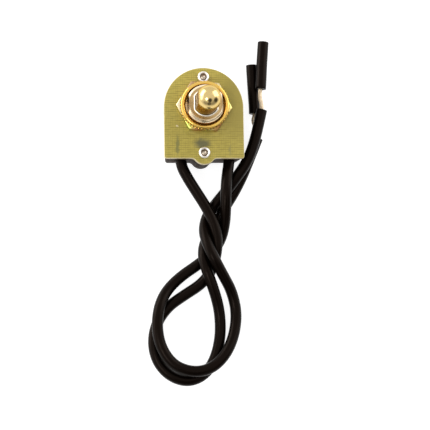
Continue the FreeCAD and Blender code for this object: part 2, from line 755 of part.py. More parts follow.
def all_pieces():
    """Every sub-part, in the order in which the switch goes together."""
    return [
        moulded_housing(), rotor_pin(), terminal("left", "-1"), terminal("right", "1"),
        root_strands("left", "-1"), root_strands("right", "1"), bridge(), rotor(), plunger(),
        spring(), button(), washer(), bushing(), board(),
        eyelet("upper_eyelet", UPPER_EYELET), eyelet("lower_eyelet", f"-{BUMP_PLACE}"),
        hex_nut(), ring_nut(), *lead_pieces(),
    ]


def main():
    pieces = all_pieces()
    doc.recompute()
    for thing in doc.Objects:
        if "Invalid" in thing.State or "Error" in thing.State:
            raise RuntimeError(f"{thing.Label} did not compute: {thing.State}")
    for piece in pieces:
        shape = piece.Shape
        if shape.isNull() or not shape.isValid() or not shape.Solids:
            raise RuntimeError(f"{piece.Label} has no valid solid")
        print(f"{piece.Label}: {len(shape.Solids)} solid, {shape.Volume:.2f} mm3")
    os.makedirs("parts", exist_ok=True)
    for piece in pieces:
        piece.Shape.exportStep(f"parts/{piece.Label}.step")


main()
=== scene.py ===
"""A push-on push-off lamp switch lying on its back, with its two twisted black leads."""

import math

import bmesh
import bpy
import numpy as np
from mathutils import Matrix, Vector


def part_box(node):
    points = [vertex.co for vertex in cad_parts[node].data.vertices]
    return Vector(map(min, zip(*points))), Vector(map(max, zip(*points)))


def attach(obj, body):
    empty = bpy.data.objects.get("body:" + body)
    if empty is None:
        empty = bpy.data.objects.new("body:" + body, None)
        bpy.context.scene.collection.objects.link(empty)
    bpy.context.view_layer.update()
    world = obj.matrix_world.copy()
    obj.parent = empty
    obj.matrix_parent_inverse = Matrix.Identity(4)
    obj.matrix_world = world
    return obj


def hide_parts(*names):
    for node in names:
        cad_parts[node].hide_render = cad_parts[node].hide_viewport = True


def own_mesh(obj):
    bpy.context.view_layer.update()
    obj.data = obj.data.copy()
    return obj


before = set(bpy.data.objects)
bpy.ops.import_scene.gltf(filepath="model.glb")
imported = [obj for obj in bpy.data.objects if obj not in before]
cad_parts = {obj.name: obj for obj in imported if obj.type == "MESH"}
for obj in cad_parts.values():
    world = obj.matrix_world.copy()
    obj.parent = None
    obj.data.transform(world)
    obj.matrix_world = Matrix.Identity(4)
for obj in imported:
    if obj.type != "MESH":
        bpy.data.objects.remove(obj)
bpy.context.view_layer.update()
MM = 0.001

# Camera
# The switch is seen from above, from a little below and to the left of its bushing's axis,
# through a long lens, as in a catalogue picture.
CAMERA_DISTANCE = 0.480
CAMERA_AIM = Vector((0.00390, -0.02847, 0.0))
CAMERA_LEAN = (math.radians(-6.27), math.radians(-7.0))
CAMERA_ROLL = math.radians(-0.92)
FOCAL_PIXELS = 1716.5
PICTURE_PIXELS = 430

camera_data = bpy.data.cameras.new("camera")
camera_data.sensor_width = 36.0
camera_data.lens = FOCAL_PIXELS / PICTURE_PIXELS * camera_data.sensor_width
camera = bpy.data.objects.new("camera", camera_data)
bpy.context.scene.collection.objects.link(camera)
bpy.context.scene.camera = camera
back = Vector((math.tan(CAMERA_LEAN[0]), math.tan(CAMERA_LEAN[1]), 1.0)).normalized()
across = Vector((0, 1, 0)).cross(back).normalized()
upward = back.cross(across)
turned = [
    across * math.cos(CAMERA_ROLL) + upward * math.sin(CAMERA_ROLL),
    upward * math.cos(CAMERA_ROLL) - across * math.sin(CAMERA_ROLL),
    back,
]
place = Matrix.Translation(CAMERA_AIM + back * CAMERA_DISTANCE)
camera.matrix_world = place @ Matrix(turned).transposed().to_4x4()


# Leads
# Two lengths of stranded hook-up wire in soft black PVC, pushed into the housing's lower edge
# and crimped inside. They are twisted together and left in a loose loop. At each far end the
# covering is cut and slid along, so that a few millimetres of bare strands show.
LEAD_RADIUS = 1.55 * MM
RIGHT_ROUTE = [
    (7.7, -10.8, 5.5), (7.4, -14.8, 5.7), (6.6, -18.6, 7.0), (6.2, -22.9, 7.4),
    (6.25, -27.4, 6.0), (6.2, -31.4, 3.8), (5.3, -35.6, 1.6), (2.6, -39.5, 1.55),
    (-1.3, -42.6, 1.55), (-6.0, -45.7, 1.55), (-10.0, -49.5, 2.3), (-12.4, -54.0, 4.6),
    (-13.2, -60.0, 5.0), (-12.0, -65.8, 4.7), (-8.6, -70.5, 4.5), (-3.4, -72.4, 4.5),
    (1.5, -71.6, 4.8), (5.6, -68.0, 4.2), (8.35, -62.6, 2.6), (9.35, -56.2, 1.8),
    (8.0, -50.2, 2.8), (5.2, -45.6, 5.3), (2.55, -41.2, 7.6), (0.9, -37.3, 6.8),
    (0.15, -33.2, 4.4), (1.4, -28.9, 1.9), (4.4, -25.0, 3.2), (7.3, -21.6, 4.0),
    (9.7, -18.3, 4.9), (12.2, -14.8, 5.0), (14.1, -10.6, 4.9), (15.7, -5.2, 4.8),
    (17.0, 0.5, 4.6),
]
LEFT_ROUTE = [
    (-6.2, -10.8, 5.5), (-6.2, -14.8, 5.5), (-4.1, -18.9, 5.3), (-1.45, -23.1, 5.2),
    (1.1, -27.3, 5.5), (3.1, -31.6, 5.6), (3.9, -36.1, 5.3), (3.5, -40.6, 4.6),
    (2.2, -44.8, 1.9), (-0.4, -48.0, 1.55), (-5.2, -51.0, 1.55), (-9.8, -54.1, 1.55),
    (-13.0, -58.6, 1.55), (-14.1, -64.0, 1.55), (-12.9, -69.3, 1.55), (-9.4, -73.3, 1.55),
    (-4.5, -74.9, 1.55), (0.0, -73.2, 1.55), (3.1, -69.0, 1.55), (4.8, -62.4, 1.55),
    (4.5, -55.2, 2.4), (2.45, -48.7, 4.6), (0.5, -43.8, 5.4), (-0.2, -39.4, 4.3),
    (1.2, -35.2, 1.8), (4.3, -30.9, 1.55), (6.6, -26.4, 1.55), (9.2, -22.4, 1.55),
    (11.7, -17.6, 1.55), (14.0, -12.1, 1.55), (16.1, -7.0, 1.55),
]
RIGHT_TIP = [
    (17.0, 0.5, 4.6), (17.05, 1.8, 4.55), (16.7, 3.6, 4.45), (16.6, 5.2, 4.34),
    (16.9, 6.9, 4.3), (17.3, 13.3, 4.1), (17.9, 20.0, 3.9),
]
LEFT_TIP = [
    (16.1, -7.0, 1.55), (16.0, -5.7, 1.55), (15.4, -3.6, 1.55), (14.9, -1.9, 1.55),
    (15.45, -0.2, 1.55), (15.05, 6.9, 1.55), (14.75, 13.9, 1.55),
]
SLEEVE_LENGTHS = {"left": 14.0, "right": 13.5}
SLEEVE_BORE = 0.72
SLEEVE_SOFTNESS = 0.12
SLEEVE_ROWS, SLEEVE_COLUMNS = 26, 32
BARE_LENGTH = 7.0
STRAND_RADIUS = 0.105
# Nineteen strands lie in three rings: each ring's radius and its number of strands.
STRAND_RINGS = ((0.0, 1), (0.22, 6), (0.43, 12))
STRAND_LAY = 16.0
STRAND_SWAY = 0.16
STRAND_ENDS_IN = 0.3
STRAND_ROWS, STRAND_SIDES = 64, 6
LOOK_AHEAD = 0.3


def linear(colour):
    """The linear red, green, blue and alpha of an sRGB colour written as six hex digits."""
    parts = np.array([int(colour[i : i + 2], 16) for i in (0, 2, 4)]) / 255
    low, high = parts / 12.92, ((parts + 0.055) / 1.055) ** 2.4
    return (*np.where(parts <= 0.04045, low, high).tolist(), 1.0)


def add(tree, kind, inputs=None, **settings):
    """Adds one node: settings are its own properties, inputs are values or sockets to link."""
    made = tree.nodes.new(kind)
    for name, value in settings.items():
        setattr(made, name, value)
    for name, value in (inputs or {}).items():
        if isinstance(value, bpy.types.NodeSocket):
            tree.links.new(value, made.inputs[name])
        else:
            made.inputs[name].default_value = value
    return made


def new_finish(name, pale, dark, patch, grain, relief, **inputs):
    """A finish of two close tones in soft patches, under a finer relief; its sizes are in mm.

    It returns the material, its node tree, its surface node, the place and the tone.
    """
    material = bpy.data.materials.new(name)
    material.use_nodes = True
    tree = material.node_tree
    surface = tree.nodes["Principled BSDF"]
    for key, value in inputs.items():
        surface.inputs[key.replace("_", " ")].default_value = value
    where = add(tree, "ShaderNodeTexCoord").outputs["Object"]
    patches = add(tree, "ShaderNodeTexNoise", {"Vector": where, "Scale": 1 / (patch * MM), "Detail": 4})
    tone = add(
        tree, "ShaderNodeMix", {0: patches.outputs["Fac"], 6: linear(dark), 7: linear(pale)},
        data_type="RGBA").outputs[2]
    tree.links.new(tone, surface.inputs["Base Color"])
    grains = add(tree, "ShaderNodeTexNoise", {"Vector": where, "Scale": 1 / (grain * MM), "Detail": 3})
    bump = add(tree, "ShaderNodeBump", {
        "Height": grains.outputs["Fac"], "Strength": 0.5, "Distance": relief * MM})
    tree.links.new(bump.outputs["Normal"], surface.inputs["Normal"])
    return material, tree, surface, where, tone


def placed(piece, body, finish, *nodes):
    """Ties a piece to its body and hides the plain nodes that it stands for; the finish is not used."""
    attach(piece, body)
    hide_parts(*nodes)
    return piece


def route_curve(name, points, radius):
    """A round tube on a smooth spline whose control points are the route's, in metres."""
    curve = bpy.data.curves.new(name, "CURVE")
    curve.dimensions = "3D"
    curve.bevel_depth = radius
    curve.bevel_resolution = 7
    curve.use_fill_caps = True
    spline = curve.splines.new("NURBS")
    spline.points.add(len(points) - 1)
    for control, point in zip(spline.points, points):
        control.co = (*(c * MM for c in point), 1.0)
    spline.order_u = 3
    spline.use_endpoint_u = True
    spline.resolution_u = 10
    piece = bpy.data.objects.new(name, curve)
    bpy.context.scene.collection.objects.link(piece)
    return piece


def centre_line(points):
    """The points down the middle of a route's spline, in millimetres, and their running length."""
    bare = route_curve("bare_line", points, 0)
    mesh = bpy.data.meshes.new_from_object(bare)
    line = np.array([vertex.co[:] for vertex in mesh.vertices]) / MM
    bpy.data.meshes.remove(mesh)
    bpy.data.curves.remove(bare.data)
    steps = np.linalg.norm(np.diff(line, axis=0), axis=1)
    return line, np.concatenate([[0], np.cumsum(steps)])


def around(line, run, distance, reach, turn):
    """Points round a line: its point at a distance plus reach times a circle square to it there.

    Distances and reaches go down the rows, and turns round the circle along them.
    """
    def read(s):
        return np.stack([np.interp(s, run, line[:, k]) for k in range(3)], axis=-1)

    before, after = (np.clip(distance + step, 0, run[-1]) for step in (-LOOK_AHEAD, LOOK_AHEAD))
    ahead = read(after) - read(before)
    ahead /= np.linalg.norm(ahead, axis=-1, keepdims=True)
    aside = np.cross(ahead, (0.0, 0.0, 1.0))
    aside /= np.linalg.norm(aside, axis=-1, keepdims=True)
    above = np.cross(aside, ahead)
    circle = np.cos(turn)[..., None] * above[:, None] + np.sin(turn)[..., None] * aside[:, None]
    return read(distance)[:, None] + reach[..., None] * circle


def quads(rows, columns, ring=False, shift=0):
    """The faces of a grid whose columns close round; in a ring the rows close as well.

    Corner (i, j) is joined to (i, j+1), (i+1, j+1) and (i+1, j). Where the columns close, the row
    moves on by the shift, as it does on a screw.
    """
    i, j = np.meshgrid(np.arange(rows if ring else rows - 1 - shift), np.arange(columns), indexing="ij")
    over = i + (j + 1) // columns * shift
    after = (j + 1) % columns
    cells = [(i, j), (over, after), (over + 1, after), (i + 1, j)]
    return np.stack([a % rows * columns + b for a, b in cells], axis=-1).reshape(-1, 4)


def together(*surfaces):
    """Several surfaces' corners and faces as one."""
    starts = np.cumsum([0] + [len(corners) for corners, _ in surfaces])
    faces = [cells + start for (_, cells), start in zip(surfaces, starts)]
    return np.concatenate([corners for corners, _ in surfaces]), np.concatenate(faces)


def new_piece(name, corners, faces, material, sharp=35):
    """A mesh piece from millimetre corners: doubles merged, smooth up to an angle in degrees."""
    mesh = bpy.data.meshes.new(name)
    mesh.from_pydata((corners * MM).tolist(), [], faces.tolist())
    shell = bmesh.new()
    shell.from_mesh(mesh)
    bmesh.ops.remove_doubles(shell, verts=shell.verts, dist=1e-3 * MM)
    bmesh.ops.dissolve_degenerate(shell, edges=shell.edges, dist=1e-4 * MM)
    shell.to_mesh(mesh)
    shell.free()
    mesh.shade_smooth()
    mesh.set_sharp_from_angle(angle=math.radians(sharp))
    mesh.materials.append(material)
    piece = bpy.data.objects.new(name, mesh)
    bpy.context.scene.collection.objects.link(piece)
    return piece


def strand_bundle(name, points, material, seed):
    """Fine strands round one line: each turns round it once a lay, at its own radius.

    A strand's middle is the line plus its radius times (cos a, sin a), where a grows with the
    distance; its skin is a small circle there. A slow sine of its own loosens each strand.
    """
    line, run = centre_line(points)
    distance = np.linspace(0.0, run[-1] - STRAND_ENDS_IN, STRAND_ROWS)
    whole = np.linspace(0, 1, STRAND_ROWS) * run[-1]
    bare = np.clip(BARE_LENGTH - distance, 0, 1)
    chance = np.random.default_rng(seed)
    sides = np.linspace(0, 2 * math.pi, STRAND_SIDES + 1)[:-1]
    strands = []
    for ring, count in STRAND_RINGS:
        for start in np.arange(count) * 2 * math.pi / count:
            sway = np.sin(distance * chance.uniform(0.6, 1.1) + chance.uniform(0, 6))
            reach = ring * (1 + STRAND_SWAY * bare * sway)
            turn = start + 2 * math.pi * distance / STRAND_LAY
            middle = around(line, run, distance, reach[:, None], turn[:, None])[:, 0]
            skin = around(
                middle, whole, whole, np.full((STRAND_ROWS, STRAND_SIDES), STRAND_RADIUS),
                np.tile(sides, (STRAND_ROWS, 1)))
            skin[0], skin[-1] = middle[0], middle[-1]
            strands.append((skin.reshape(-1, 3), quads(STRAND_ROWS, STRAND_SIDES)))
    return new_piece(name, *together(*strands), material, 80)


def end_sleeve(name, points, length, material):
    """A hollow sleeve on the far end of a line: a rounded section of wall carried round it.

    The section's points are a distance along the line and a radius; they run out along the
    outside and back through the bore, and the rows close into a ring.
    """
    line, run = centre_line(points)
    outer, soft = LEAD_RADIUS / MM, SLEEVE_SOFTNESS
    low, high = run[-1] - length, run[-1]
    out = np.linspace(low + soft, high - soft, SLEEVE_ROWS)
    wall = [(low + soft * 0.3, outer - soft * 0.3), *((s, outer) for s in out)]
    wall += [(high - soft * 0.3, outer - soft * 0.3), (high, outer - soft), (high, SLEEVE_BORE + soft)]
    wall += [*((s, SLEEVE_BORE) for s in out[::-1]), (low, SLEEVE_BORE + soft), (low, outer - soft)]
    wall = np.array(wall)
    turn = np.tile(np.linspace(0, 2 * math.pi, SLEEVE_COLUMNS + 1)[:-1], (len(wall), 1))
    skin = around(line, run, wall[:, 0], wall[:, 1:] + 0 * turn, turn)
    faces = quads(len(wall), SLEEVE_COLUMNS, ring=True)
    return new_piece(name, skin.reshape(-1, 3), faces, material, 50)


# Soft PVC straight from the extruder: nearly black, a little brown, with a dull satin shine.
pvc = new_finish(
    "soft_black_pvc", "0B0604", "040201", 4.0, 0.7, 0.02, Roughness=0.3, Specular_IOR_Level=0.1,
    Specular_Tint=linear("F4D8C6"))[0]
# Copper wire drawn 0.2 mm thick and tinned: pale, warm, and dull where it has been bent.
tinned = new_finish(
    "tinned_copper", "FFF4DE", "C2A478", 0.5, 0.3, 0.01, Metallic=0.9, Roughness=0.4)[0]

for side, route, tip, seed in (("left", LEFT_ROUTE, LEFT_TIP, 4), ("right", RIGHT_ROUTE, RIGHT_TIP, 7)):
    covering = route_curve(f"{side}_lead_covering", route, LEAD_RADIUS)
    covering.data.materials.append(pvc)
    strands = strand_bundle(f"{side}_bare_strands", tip, tinned, seed)
    sleeve = end_sleeve(f"{side}_end_sleeve", tip, SLEEVE_LENGTHS[side], pvc)
    placed(covering, "switch", "lead_covering", f"{side}_lead")
    placed(strands, "switch", "tinned_copper", f"{side}_tip_strands")
    placed(sleeve, "switch", "lead_covering", f"{side}_tip_sleeve")


# Housing
# A block of black phenolic, moulded with a slight draft so that it leaves its mould. It carries
# the rotor and the terminals inside, and the two rivets clamp it to the board.
HOUSING_EDGE = 0.22


def eased_copy(node, name, width, material):
    """A merged copy of a CAD node with its edges rounded by the given width in millimetres."""
    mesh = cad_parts[node].data.copy()
    mesh.name = name
    shell = bmesh.new()
    shell.from_mesh(mesh)
    bmesh.ops.remove_doubles(shell, verts=shell.verts, dist=1e-3 * MM)
    bmesh.ops.dissolve_limit(
        shell, angle_limit=math.radians(0.5), verts=shell.verts, edges=shell.edges)
    shell.to_mesh(mesh)
    shell.free()
    mesh.shade_smooth()
    mesh.materials.clear()
    mesh.materials.append(material)
    piece = bpy.data.objects.new(name, mesh)
    bpy.context.scene.collection.objects.link(piece)
    rounding = piece.modifiers.new("edges", "BEVEL")
    rounding.width = width * MM
    rounding.segments = 3
    rounding.limit_method = "ANGLE"
    rounding.angle_limit = math.radians(40)
    rounding.use_clamp_overlap = False
    rounding.harden_normals = True
    return piece


# Black phenolic moulding: hard, almost black, brown where light grazes it, faintly mottled.
phenolic = new_finish(
    "black_phenolic", "3F2E22", "271B13", 3.0, 0.4, 0.03, Roughness=0.6, Specular_IOR_Level=0.07)[0]
placed(eased_copy("housing", "black_housing", HOUSING_EDGE, phenolic), "switch", "moulding", "housing")


# Rotor, plunger, spring and contacts
# The works inside the housing, which the board closes: nylon ratchet pieces, a steel pin, the
# coil spring that stands on the pin's head and lifts the button, and sheet brass contacts that
# are crimped round the leads' strands.
SPRING_RADIUS = 1.6
SPRING_WIRE = 0.2
SPRING_TURNS = 5
SPRING_END_TURNS = 0.8
SPRING_ROWS_PER_TURN, SPRING_SIDES = 40, 10


def coil_spring(low, high, material):
    """A coil spring: its wire's middle goes round the axis while it rises from low to high.

    The height stays level over the end turns. The skin is a small circle square to the middle.
    """
    turn = np.linspace(0, SPRING_TURNS, SPRING_ROWS_PER_TURN * SPRING_TURNS + 1)
    rise = np.clip((turn - SPRING_END_TURNS) / (SPRING_TURNS - 2 * SPRING_END_TURNS), 0, 1)
    angle = 2 * math.pi * turn
    middle = np.stack([
        SPRING_RADIUS * np.cos(angle), SPRING_RADIUS * np.sin(angle),
        low + SPRING_WIRE + rise * (high - low - 2 * SPRING_WIRE)], axis=-1)
    steps = np.linalg.norm(np.diff(middle, axis=0), axis=1)
    run = np.concatenate([[0], np.cumsum(steps)])
    sides = np.tile(np.linspace(0, 2 * math.pi, SPRING_SIDES + 1)[:-1], (len(run), 1))
    skin = around(middle, run, run, SPRING_WIRE + 0 * sides, sides)
    skin[0], skin[-1] = middle[0], middle[-1]
    faces = quads(len(run), SPRING_SIDES)
    return new_piece("coil_return_spring", skin.reshape(-1, 3), faces, material, 60)


# Natural nylon: milky ivory, waxy and slightly translucent, moulded to a soft satin.
nylon = new_finish(
    "natural_nylon", "E6DFCB", "D8CFB6", 2.0, 0.5, 0.02, Roughness=0.4, Subsurface_Weight=0.3)[0]
# Drawn spring steel: grey and bright, with the fine haze that the die leaves.
steel = new_finish(
    "drawn_spring_steel", "B9B6AF", "8F8C86", 0.8, 0.2, 0.01, Metallic=1.0, Roughness=0.3)[0]
# Rolled sheet brass: yellow and even, a little dull from handling.
sheet_brass = new_finish(
    "rolled_sheet_brass", "D9B968", "B8954A", 1.5, 0.3, 0.01, Metallic=1.0, Roughness=0.33)[0]
# Vulcanised fibre: a matt red-brown board of pressed paper with short cloudy fibres.
fibre = new_finish("vulcanised_fibre", "8E4B38", "6E392B", 1.1, 0.2, 0.03, Roughness=0.7)[0]

for finish, nodes in (
    (nylon, ("rotor", "plunger")),
    (steel, ("rotor_pin",)),
    (sheet_brass, ("contact_bridge", "left_terminal", "right_terminal")),
    (tinned, ("left_root_strands", "right_root_strands")),
    (fibre, ("insulating_washer",)),
):
    for node in nodes:
        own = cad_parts[node].data
        own.materials.clear()
        own.materials.append(finish)

# The spring runs from its foot to its head, and moves with the button as one piece.
foot, head = (end[2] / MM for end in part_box("return_spring"))
spring = placed(coil_spring(foot, head, steel), "button", "spring_steel", "return_spring")
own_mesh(spring)


# Threaded bushing
# A turned bushing with a lamp thread of 27 turns to the inch, nickel plated and milled flat on
# its left and right. Its flange is trapped under the board, and its thin lip, which has the same
# two flats, guides the push button.
THREAD_PITCH = 25.4 / 27
THREAD_CREST = 5.2
THREAD_ROOT = 4.78
THREAD_FLAT = 4.5
THREAD_LOW, THREAD_HIGH = 11.8, 17.6
# The thread is a zigzag, made steeper by the first number and cut off at its crests by the second.
THREAD_STEEPER, THREAD_LAND = 1.25, 0.12
THREAD_COLUMNS = 120
ROWS_PER_TURN = 10
NO_FLAT = 99.0
LIP_FLAT_IN = 0.5
# Where the painted highlights begin: from and to a height above the face, for the lip, and from and to a
# radius, for the outer edge.
LIP_HIGHLIGHT_HEIGHTS = (0.15, 0.4)
EDGE_HIGHLIGHT_RADII = (4.4, 4.6)


def screw_wall(low, high):
    """The thread: the radius zigzags from the crest to the root and back once in each pitch.

    The rows follow the helix, so a row's height is low + pitch * (row / rows per turn + turn - 1)
    and its radius depends on the row alone. At both ends the wall dips to the thread's root, and
    the left and right of each turn are cut off at the flats.
    """
    rows = (math.ceil((high - low) / THREAD_PITCH) + 2) * ROWS_PER_TURN + 1
    row = np.arange(rows)[:, None]
    turn = np.arange(THREAD_COLUMNS)[None, :] / THREAD_COLUMNS
    height = np.clip(low + THREAD_PITCH * (row / ROWS_PER_TURN + turn - 1), low, high)
    depth = THREAD_CREST - THREAD_ROOT
    zigzag = np.abs(2 * (row / ROWS_PER_TURN % 1) - 1)
    valley = np.clip(zigzag * THREAD_STEEPER - THREAD_LAND, 0, 1)
    rise = np.clip(np.minimum(height - low, high - height), 0, depth)
    radius = np.minimum(THREAD_CREST - depth * valley, THREAD_ROOT + rise)
    angle = 2 * math.pi * turn
    flatted = np.clip(radius * np.cos(angle), -THREAD_FLAT, THREAD_FLAT)
    corners = np.stack([flatted, radius * np.sin(angle), height], axis=-1)
    return corners.reshape(-1, 3), quads(rows, THREAD_COLUMNS, shift=ROWS_PER_TURN)


def turned_wall(section, columns, middle=(0.0, 0.0), wave=None, flats=None, ring=False):
    """A turned surface: each point of a section, a radius and a height, is carried round the axis.

    The section runs up the outside and down the inside, so the faces look outwards. A wave is
    taken from the radius at each angle, as much of it as the section's third number says. Flats
    are the half widths at which each point's circle is cut off on the left and on the right.
    """
    section = np.array(section, float)
    angle = (np.arange(columns) * 2 * math.pi / columns)[None, :]
    radius = section[:, :1] - (section[:, 2:3] * wave(angle) if wave else 0 * angle)
    limit = NO_FLAT if flats is None else np.array(flats)[:, None]
    corners = np.stack([
        middle[0] + np.clip(radius * np.cos(angle), -limit, limit),
        middle[1] + radius * np.sin(angle),
        section[:, 1:2] + 0 * angle], axis=-1)
    return corners.reshape(-1, 3), quads(len(section), columns, ring=ring)


def corner(middle, reach, first, last, count):
    """A section's rounded corner: the middle plus its reach times (cos a, sin a), a in degrees.

    The reach is one number, or one for the radius and one for the height.
    """
    angle = np.radians(np.linspace(first, last, count))
    wide, high = reach if isinstance(reach, tuple) else (reach, reach)
    return list(zip(middle[0] + wide * np.cos(angle), middle[1] + high * np.sin(angle)))


# Bright nickel over turned brass: silvery, warm from the metal under it, lightly handled.
# The thin lip, which the button rubs, and the outer edge are painted whiter than the face between them,
# as highlights.
nickel, tree, surface, where, tone = new_finish(
    "nickel_plated_brass", "E4C999", "C3A36C", 2.4, 0.6, 0.003, Metallic=1.0)
height = add(tree, "ShaderNodeSeparateXYZ", {0: where}).outputs["Z"]
lip_highlight_mask = add(tree, "ShaderNodeMapRange", {
    "Value": height, "From Min": (THREAD_HIGH + LIP_HIGHLIGHT_HEIGHTS[0]) * MM,
    "From Max": (THREAD_HIGH + LIP_HIGHLIGHT_HEIGHTS[1]) * MM}).outputs[0]
flatwise = add(tree, "ShaderNodeVectorMath", {0: where, 1: (1.0, 1.0, 0.0)}, operation="MULTIPLY")
radial = add(tree, "ShaderNodeVectorMath", {0: flatwise.outputs[0]}, operation="LENGTH").outputs["Value"]
edge_highlight_mask = add(tree, "ShaderNodeMapRange", {
    "Value": radial, "From Min": EDGE_HIGHLIGHT_RADII[0] * MM, "From Max": EDGE_HIGHLIGHT_RADII[1] * MM}).outputs[0]
# Painted highlights: the outer edge and then the lip are mixed to paler tones.
tone = add(
    tree, "ShaderNodeMix", {0: edge_highlight_mask, 6: tone, 7: linear("FFE8C2")}, data_type="RGBA").outputs[2]
tone = add(
    tree, "ShaderNodeMix", {0: lip_highlight_mask, 6: tone, 7: linear("FFF8EA")}, data_type="RGBA").outputs[2]
haze = add(tree, "ShaderNodeMapRange", {"Value": lip_highlight_mask, "To Min": 0.25, "To Max": 0.4}).outputs[0]
tree.links.new(haze, surface.inputs["Roughness"])
tree.links.new(tone, surface.inputs["Base Color"])
# The bushing's section, a radius and a height at each point: the face with a turned groove, the
# rounded lip and the bore, and then the flange and the thread's foot.
lip_section = [
    *corner((3.6, 17.9), (0.25, 0.3), 0, 90, 8), *corner((3.51, 18.14), 0.06, 90, 180, 3),
    (3.45, 13.0),
]
top_section = [
    (THREAD_ROOT, THREAD_HIGH), (4.55, THREAD_HIGH), (4.47, 17.45), (4.33, 17.45),
    (4.25, THREAD_HIGH), (3.85, THREAD_HIGH),
]
under_section = [
    (3.8, 13.0), (3.8, 8.8), (6.2, 8.8), (6.2, 10.0), (THREAD_CREST, 10.0),
    (THREAD_CREST, THREAD_LOW), (THREAD_ROOT, THREAD_LOW),
]
# At each of those points, the half width between the flats.
bushing_flats = [THREAD_FLAT, 4.36, 4.28, 4.14, 4.06, 3.35]
bushing_flats += [*(r - LIP_FLAT_IN for r, z in lip_section), *[NO_FLAT] * 4, *[THREAD_FLAT] * 3]
bushing_surfaces = together(
    screw_wall(THREAD_LOW, THREAD_HIGH),
    turned_wall([*top_section, *lip_section, *under_section], THREAD_COLUMNS, flats=bushing_flats))
placed(
    new_piece("threaded_nickel_bushing", *bushing_surfaces, nickel, 22),
    "switch", "nickel", "threaded_bushing")


# Cover board
# A punched board of woven glass cloth in resin. The bushing's flange and the rivets hold it on
# the housing; its cut edges are paler than its face.
BOARD_EDGE = 0.2
BOARD_TOP = 11.6
WEAVE_PITCH = 0.5
WEFT_SHOWS, WARP_SHOWS = 0.75, 0.32
# Noise changes along a thread at this share of its pace across it, which draws it out, and a
# higher power makes the gaps between the threads narrower.
THREAD_DRAWN_OUT = 0.3
GAP_POWER = 1.6
# Blender's bands repeat at this distance over their scale.
BANDS_PERIOD = 2 * math.pi / 20
MARK_RAGGED = 1.8
# How level the surface is where the cut edge's tone ends and where the face's is full.
FACE_LEVEL = (0.8, 0.97)
# What lies close under the board shows through it as soft dark marks, and the last, large mark is
# painted shade on the board's right half: middle and half size.
BOARD_MARKS_AND_PAINTED_SHADE = (
    ((-0.5, -10.15), (2.9, 1.7), "565435"),
    ((-7.4, -10.7), (0.6, 3.7), "767238"),
    ((7.2, -11.8), (0.5, 1.8), "8F8545"),
    # Painted shade: a broad darker patch over the board's right half, which the lamps light more than
    # the left.
    ((9.5, 2.0), (7.5, 13.0), "968633"),
)
BOARD_SPECK = ((-7.5, -5.4), (0.28, 0.24), "E8DCC0")

# Glass cloth in olive resin: a fine square weave under a thin gloss, cream where it is cut. The
# cloth's threads lie 0.4 mm apart, and are drawn a little further apart so that they show.
board, tree, surface, where, tone = new_finish(
    "glass_cloth_board", "BFAD4D", "AA993F", 6.0, 0.5, 0.01, Roughness=0.4)
for way, long, shows in (
    ("X", (1.0, THREAD_DRAWN_OUT, 1.0), WARP_SHOWS),
    ("Y", (THREAD_DRAWN_OUT, 1.0, 1.0), WEFT_SHOWS),
):
    gap = add(tree, "ShaderNodeTexWave", {
        "Vector": where, "Scale": BANDS_PERIOD / (WEAVE_PITCH * MM), "Distortion": 0.4,
        "Detail": 2.0}, wave_type="BANDS", bands_direction=way).outputs["Fac"]
    gap = add(tree, "ShaderNodeMath", {0: gap, 1: GAP_POWER}, operation="POWER").outputs[0]
    thread = add(tree, "ShaderNodeVectorMath", {0: where, 1: long}, operation="MULTIPLY")
    thread = add(tree, "ShaderNodeTexNoise", {
        "Vector": thread.outputs[0], "Scale": 1 / (WEAVE_PITCH * MM), "Detail": 2.0}).outputs["Fac"]
    streak = add(tree, "ShaderNodeMapRange", {
        "Value": thread, "From Min": 0.35, "From Max": 0.65,
        "To Min": 0.4 * shows, "To Max": 1.6 * shows}).outputs[0]
    gap = add(tree, "ShaderNodeMath", {0: gap, 1: streak}, operation="MULTIPLY").outputs[0]
    tone = add(
        tree, "ShaderNodeMix", {0: gap, 6: tone, 7: linear("85782A")}, data_type="RGBA").outputs[2]
ragged = add(tree, "ShaderNodeTexNoise", {"Vector": where, "Scale": 1 / (1.1 * MM), "Detail": 3.0})
ragged = add(tree, "ShaderNodeVectorMath", {
    0: ragged.outputs["Color"], 1: (0.5, 0.5, 0.5)}, operation="SUBTRACT")
ragged = add(tree, "ShaderNodeVectorMath", {
    0: ragged.outputs[0], 1: (MARK_RAGGED * MM, MARK_RAGGED * MM, 0.0), 2: where,
}, operation="MULTIPLY_ADD").outputs[0]
for middle, half, shade in (*BOARD_MARKS_AND_PAINTED_SHADE, BOARD_SPECK):
    spot = add(tree, "ShaderNodeMapping", {
        "Vector": ragged, "Location": (middle[0] * MM, middle[1] * MM, BOARD_TOP * MM),
        "Scale": (half[0] * MM, half[1] * MM, 1.0)}, vector_type="TEXTURE")
    reach = add(tree, "ShaderNodeVectorMath", {0: spot.outputs[0]}, operation="LENGTH").outputs["Value"]
    share = add(tree, "ShaderNodeMapRange", {
        "Value": reach, "From Min": 0.3, "From Max": 1.15, "To Min": 0.9, "To Max": 0.0,
    }, interpolation_type="SMOOTHSTEP").outputs[0]
    tone = add(
        tree, "ShaderNodeMix", {0: share, 6: tone, 7: linear(shade)}, data_type="RGBA").outputs[2]
lie = add(tree, "ShaderNodeTexCoord").outputs["Normal"]
level = add(tree, "ShaderNodeSeparateXYZ", {0: lie}).outputs["Z"]
flat = add(tree, "ShaderNodeMapRange", {
    "Value": level, "From Min": FACE_LEVEL[0], "From Max": FACE_LEVEL[1]}).outputs[0]
tone = add(
    tree, "ShaderNodeMix", {0: flat, 6: linear("E6D6A6"), 7: tone}, data_type="RGBA").outputs[2]
tree.links.new(tone, surface.inputs["Base Color"])
placed(
    eased_copy("cover_plate", "glass_cloth_cover", BOARD_EDGE, board),
    "switch", "board", "cover_plate")


